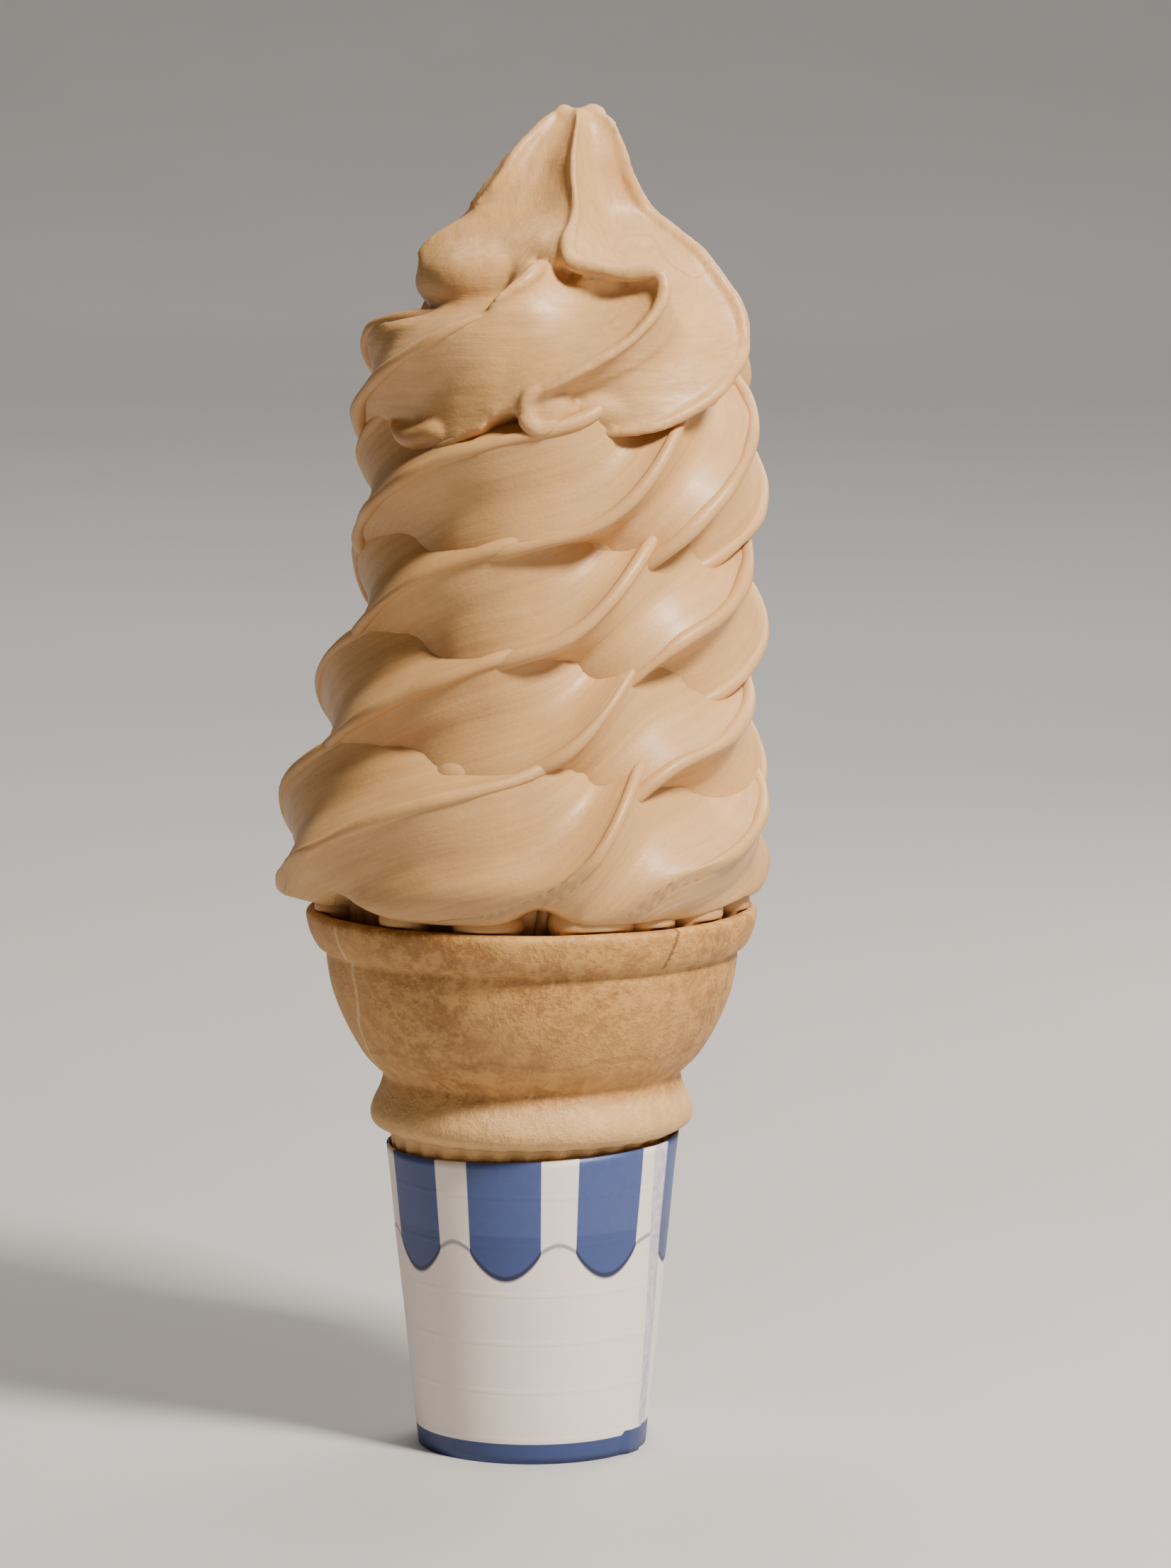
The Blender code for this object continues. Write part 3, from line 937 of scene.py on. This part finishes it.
def blank_material(name):
    """A material with its Principled shader, its tree and the object position."""
    material = bpy.data.materials.new(name)
    material.use_nodes = True
    tree = material.node_tree
    shader = tree.nodes["Principled BSDF"]
    position = make(tree, "ShaderNodeTexCoord").outputs["Object"]
    return material, tree, shader, position


def use_group(tree, group, **inputs):
    """A placed node group with its inputs set by name."""
    node = tree.nodes.new("ShaderNodeGroup")
    node.node_tree = group
    for key, value in inputs.items():
        socket = node.inputs[key.replace("_", " ")]
        if isinstance(value, bpy.types.NodeSocket):
            tree.links.new(value, socket)
        else:
            socket.default_value = value
    return node


def bump(tree, height, strength, distance, before=None):
    """A Bump node's normal."""
    inputs = {"Height": height, "Strength": strength, "Distance": distance}
    if before is not None:
        inputs["Normal"] = before
    return make(tree, "ShaderNodeBump", inputs).outputs[0]


def cream_material():
    """Frozen vanilla cream: soft light under the skin, faint streaks along the rope, a damp gloss."""
    material, tree, shader, position = blank_material("cream")
    flow = make(tree, "ShaderNodeAttribute", attribute_name="flow").outputs["Vector"]
    patches = use_group(tree, SPECKLE, Position=position, Patch_Scale=60.0, Grain_Scale=1500.0,
                        Grain_Share=0.25, Low=0.35, High=0.68)
    streaks = make(tree, "ShaderNodeTexNoise", {"Vector": flow, "Scale": 900.0, "Detail": 3.0,
                                                "Roughness": 0.6}).outputs[0]
    tone = calc(tree, "ADD", calc(tree, "MULTIPLY", patches.outputs[0], 0.6),
                calc(tree, "MULTIPLY", ramp(tree, streaks, 0.35, 0.65), 0.4))
    tree.links.new(mix(tree, tone, CREAM_DEEP, CREAM_PALE), shader.inputs["Base Color"])
    tree.links.new(follow(tree, tone, (0.0, 0.56), (1.0, 0.42)), shader.inputs["Roughness"])
    drawn = bump(tree, streaks, 0.35, 0.0003)
    tree.links.new(bump(tree, patches.outputs[1], 0.30, 0.0002, drawn), shader.inputs["Normal"])
    shader.inputs["Subsurface Weight"].default_value = 0.20
    shader.inputs["Subsurface Radius"].default_value = (1.0, 0.50, 0.22)
    shader.inputs["Subsurface Scale"].default_value = 0.0014
    shader.inputs["Specular IOR Level"].default_value = 0.42
    shader.inputs["Coat Weight"].default_value = 0.08
    shader.inputs["Coat Roughness"].default_value = 0.30
    return material


def thin_line(tree, value, middle, half):
    """1 on a line where a value meets its middle, 0 from a half-width away."""
    away = calc(tree, "ABSOLUTE", calc(tree, "SUBTRACT", value, middle))
    return calc(tree, "SUBTRACT", 1.0, ramp(tree, away, 0.3 * half, half))


def between(tree, value, low, high, soft):
    """1 between two values of a height or an angle, 0 outside."""
    return calc(tree, "MULTIPLY", ramp(tree, value, low - soft, low + soft),
                calc(tree, "SUBTRACT", 1.0, ramp(tree, value, high - soft, high + soft)))


def wafer_material():
    """Baked wafer: mottled tan, grainy, with a mould line, a batter line and a crack in the rim; the pale
    band over the ring runs down over the neck as painted light on the shade under the ring.
    """
    material, tree, shader, position = blank_material("wafer")
    place = use_group(tree, ROUND_PLACE, Position=position)
    azimuth, height = place.outputs[0], place.outputs[1]
    patches = use_group(tree, SPECKLE, Position=position, Patch_Scale=420.0, Grain_Scale=1500.0,
                        Grain_Share=0.40, Low=0.40, High=0.60)
    broad = use_group(tree, SPECKLE, Position=position, Patch_Scale=55.0, Grain_Scale=300.0,
                      Grain_Share=0.2, Low=0.35, High=0.70)
    fine_drift = calc(tree, "SUBTRACT", patches.outputs[1], 0.5)
    broad_drift = calc(tree, "SUBTRACT", broad.outputs[1], 0.5)

    mottled = mix(tree, patches.outputs[0], WAFER_BROWN, WAFER_TAN)
    toned = mix(tree, calc(tree, "MULTIPLY", broad.outputs[0], GOLD_SHOW), mottled, WAFER_GOLD)
    # pale band: the ring's own paler bake above, painted light over the neck in the ring's shade below
    pale = between(tree, height, *PALE_RING_AND_LIT_NECK, 0.0012)
    ringed_and_lit = mix(tree, calc(tree, "MULTIPLY", pale, RING_AND_LIT_NECK_SHOW), toned, WAFER_PALE_AND_PAINTED_LIGHT)

    near = calc(tree, "ADD", azimuth, calc(tree, "MULTIPLY", broad_drift, 4.0))
    mould = calc(tree, "MULTIPLY",
                 thin_line(tree, near, follow(tree, height, MOULD_LOW, MOULD_HIGH), MOULD_HALF),
                 between(tree, height, *MOULD_HEIGHTS, 0.0004))
    lined = mix(tree, calc(tree, "MULTIPLY", mould, MOULD_SHOW), ringed_and_lit, MOULD_PALE)

    jagged = calc(tree, "ADD", azimuth, calc(tree, "MULTIPLY", fine_drift, 3.0))
    crack = calc(tree, "MULTIPLY",
                 thin_line(tree, jagged, follow(tree, height, CRACK_LOW, CRACK_HIGH), CRACK_HALF),
                 between(tree, height, *CRACK_HEIGHTS, 0.0002))
    cracked = mix(tree, calc(tree, "MULTIPLY", crack, CRACK_SHOW), lined, CRACK_DARK)

    swelling = calc(tree, "SINE", calc(tree, "MULTIPLY", azimuth, BATTER_SWELLS_A_DEGREE))
    level = calc(tree, "ADD", calc(tree, "ADD", height, calc(tree, "MULTIPLY", swelling, BATTER_SWELL)),
                 calc(tree, "MULTIPLY", broad_drift, 0.003))
    batter = calc(tree, "MULTIPLY", thin_line(tree, level, BATTER_Z, BATTER_HALF),
                  ramp(tree, patches.outputs[1], 0.40, 0.55))
    edged = mix(tree, calc(tree, "MULTIPLY", batter, BATTER_SHOW), cracked, BATTER_DARK)
    tree.links.new(edged, shader.inputs["Base Color"])

    tree.links.new(follow(tree, patches.outputs[1], (0.0, 0.46), (1.0, 0.72)), shader.inputs["Roughness"])
    surface = calc(tree, "ADD", patches.outputs[0], calc(tree, "MULTIPLY", patches.outputs[1], 0.6))
    cuts = calc(tree, "ADD", calc(tree, "MULTIPLY", crack, CRACK_CUT),
                calc(tree, "MULTIPLY", batter, BATTER_CUT))
    marks = calc(tree, "SUBTRACT", calc(tree, "MULTIPLY", mould, MOULD_RAISED), cuts)
    tree.links.new(bump(tree, calc(tree, "ADD", surface, marks), 0.5, 0.00018), shader.inputs["Normal"])
    shader.inputs["Subsurface Weight"].default_value = 0.12
    shader.inputs["Subsurface Radius"].default_value = (1.0, 0.6, 0.3)
    shader.inputs["Subsurface Scale"].default_value = 0.001
    return material


def jacket_material():
    """Printed paper: a striped awning with a scalloped edge and a band at the foot."""
    material, tree, shader, position = blank_material("printed_paper")
    place = use_group(tree, ROUND_PLACE, Position=position)
    azimuth, height = place.outputs[0], place.outputs[1]
    blur = make(tree, "ShaderNodeTexNoise", {"Vector": position, "Scale": 900.0, "Detail": 3.0}).outputs[0]

    shifted = calc(tree, "ADD", azimuth, 720.0 - STRIPE_CENTRE + 0.5 * STRIPE_PERIOD)
    across = calc(tree, "SUBTRACT", calc(tree, "MODULO", shifted, STRIPE_PERIOD), 0.5 * STRIPE_PERIOD)
    away = calc(tree, "ABSOLUTE", across)
    stripe = calc(tree, "SUBTRACT", 1.0, ramp(tree, away, STRIPE_HALF - 0.3, STRIPE_HALF + 0.3))

    falling = calc(tree, "COSINE", calc(tree, "MULTIPLY", away, radians(90.0 / STRIPE_HALF)))
    dip = calc(tree, "POWER", calc(tree, "MAXIMUM", falling, 0.0), SCALLOP_POWER)
    blue_edge = calc(tree, "SUBTRACT", SCALLOP_Z, calc(tree, "MULTIPLY", dip, SCALLOP_DEPTH))
    from_white = calc(tree, "SUBTRACT", 0.5 * STRIPE_PERIOD, away)
    white_half = 0.5 * STRIPE_PERIOD - STRIPE_HALF
    hump = calc(tree, "COSINE", calc(tree, "MULTIPLY", from_white, radians(90.0 / white_half)))
    white_edge = calc(tree, "ADD", SCALLOP_Z, calc(tree, "MULTIPLY", hump, ARCH_RISE))
    in_stripe = calc(tree, "LESS_THAN", away, STRIPE_HALF)
    edge = calc(tree, "ADD", calc(tree, "MULTIPLY", blue_edge, in_stripe),
                calc(tree, "MULTIPLY", white_edge, calc(tree, "SUBTRACT", 1.0, in_stripe)))
    above = calc(tree, "SUBTRACT", height, edge)
    in_awning = ramp(tree, above, -0.00006, 0.00006)
    rim = calc(tree, "SUBTRACT", 1.0, ramp(tree, calc(tree, "ABSOLUTE", above), *EDGE_LINE))
    inner = calc(tree, "MULTIPLY", between(tree, above, *INNER_LINE, 0.00020), in_stripe)

    paper = mix(tree, blur, PAPER_SHADE, PAPER_WHITE)
    blue = mix(tree, blur, AWNING_DEEP, AWNING_BLUE)
    flap = calc(tree, "SUBTRACT", 1.0, ramp(tree, height, FOLD_Z - 0.0002, FOLD_Z + 0.0002))
    blue_shade = mix(tree, calc(tree, "MULTIPLY", flap, FLAP_SHOW), blue, FLAP_BLUE)
    striped = mix(tree, calc(tree, "MULTIPLY", stripe, in_awning), paper, blue_shade)
    arched = mix(tree, calc(tree, "MULTIPLY", rim, ARCH_SHOW), striped, ARCH_GREY)
    outlined = mix(tree, calc(tree, "MULTIPLY", inner, NAVY_SHOW), arched, SCALLOP_NAVY)

    lap = ramp(tree, azimuth, *BAND_STEP_AT)
    band_top = calc(tree, "ADD", BAND_Z, calc(tree, "MULTIPLY", lap, BAND_STEP))
    band_share = ramp(tree, calc(tree, "SUBTRACT", band_top, height), -0.00005, 0.00005)
    banded = mix(tree, band_share, outlined, BAND_BLUE)

    from_strip = calc(tree, "SUBTRACT", azimuth, follow(tree, height, GLUE_LOW, GLUE_HIGH))
    strip = calc(tree, "LESS_THAN", calc(tree, "ABSOLUTE", from_strip),
                 follow(tree, height, GLUE_HALF_LOW, GLUE_HALF_HIGH))
    glue = calc(tree, "MULTIPLY", calc(tree, "MULTIPLY", strip, ramp(tree, height, *GLUE_FROM)), GLUE_SHOW)
    worn = mix(tree, ramp(tree, blur, 0.35, 0.65), GLUE_DEEP, GLUE_PALE)
    tree.links.new(mix(tree, glue, banded, worn), shader.inputs["Base Color"])

    tree.links.new(follow(tree, blur, (0.0, 0.38), (1.0, 0.52)), shader.inputs["Roughness"])
    crease = thin_line(tree, calc(tree, "MODULO", height, CREASE_EVERY), 0.5 * CREASE_EVERY, CREASE_HALF)
    paper_height = calc(tree, "ADD", blur, calc(tree, "MULTIPLY", crease, 2.0))
    tree.links.new(bump(tree, paper_height, 0.15, 0.0001), shader.inputs["Normal"])
    return material


def build_floor():
    """A pale floor that curves up behind."""
    bm = bmesh.new()
    line = smooth_run(FLOOR_PROFILE, FLOOR_STEPS)
    verts = [bm.verts.new((-FLOOR_HALF, point.x, max(point.y, 0.0))) for point in line]
    edges = [bm.edges.new(pair) for pair in zip(verts, verts[1:])]
    made = bmesh.ops.extrude_edge_only(bm, edges=edges)["geom"]
    moved = [item for item in made if isinstance(item, bmesh.types.BMVert)]
    bmesh.ops.translate(bm, verts=moved, vec=(2.0 * FLOOR_HALF, 0, 0))
    bmesh.ops.recalc_face_normals(bm, faces=bm.faces)
    material, tree, shader, position = blank_material("floor")
    shade = make(tree, "ShaderNodeTexNoise", {"Vector": position, "Scale": 8.0, "Detail": 4.0}).outputs[0]
    tree.links.new(mix(tree, shade, FLOOR_SHADE, FLOOR_PALE), shader.inputs["Base Color"])
    shader.inputs["Roughness"].default_value = 0.6
    mesh = bpy.data.meshes.new("floor")
    bm.to_mesh(mesh)
    bm.free()
    mesh.polygons.foreach_set("use_smooth", [True] * len(mesh.polygons))
    mesh.materials.append(material)
    floor_object = bpy.data.objects.new("floor", mesh)
    bpy.context.scene.collection.objects.link(floor_object)


def add_light(name, place, aim, size, power, colour):
    """A soft square light that looks at a point."""
    lamp = bpy.data.lights.new(name, "AREA")
    lamp.energy = power
    lamp.size = size
    lamp.color = colour
    thing = bpy.data.objects.new(name, lamp)
    thing.location = place
    thing.rotation_euler = (Vector(aim) - Vector(place)).to_track_quat("-Z", "Y").to_euler()
    bpy.context.scene.collection.objects.link(thing)


def set_stage():
    """Floor, studio light and the camera."""
    build_floor()
    for light in LIGHTS:
        add_light(*light)
    world = bpy.data.worlds.new("studio")
    world.use_nodes = True
    background = world.node_tree.nodes["Background"]
    background.inputs[0].default_value = ROOM_LIGHT
    background.inputs[1].default_value = ROOM_STRENGTH
    bpy.context.scene.world = world

    lens = bpy.data.cameras.new("camera")
    lens.sensor_width = SENSOR
    lens.lens = FOCAL_PIXELS / LONG_SIDE_PIXELS * SENSOR
    lens.clip_start = 0.01
    camera = bpy.data.objects.new("camera", lens)
    camera.location = (CAMERA_SIDE, -CAMERA_BACK, CAMERA_HEIGHT)
    camera.rotation_euler = (radians(90.0) - atan((CAMERA_HEIGHT - AIM_HEIGHT) / CAMERA_BACK), 0, 0)
    bpy.context.scene.collection.objects.link(camera)
    bpy.context.scene.camera = camera


cream = cream_material()
build_swirl(cream)
build_ridges(cream)
build_peak(cream)
build_filling(cream)
build_cup(wafer_material())
build_jacket(jacket_material())
set_stage()
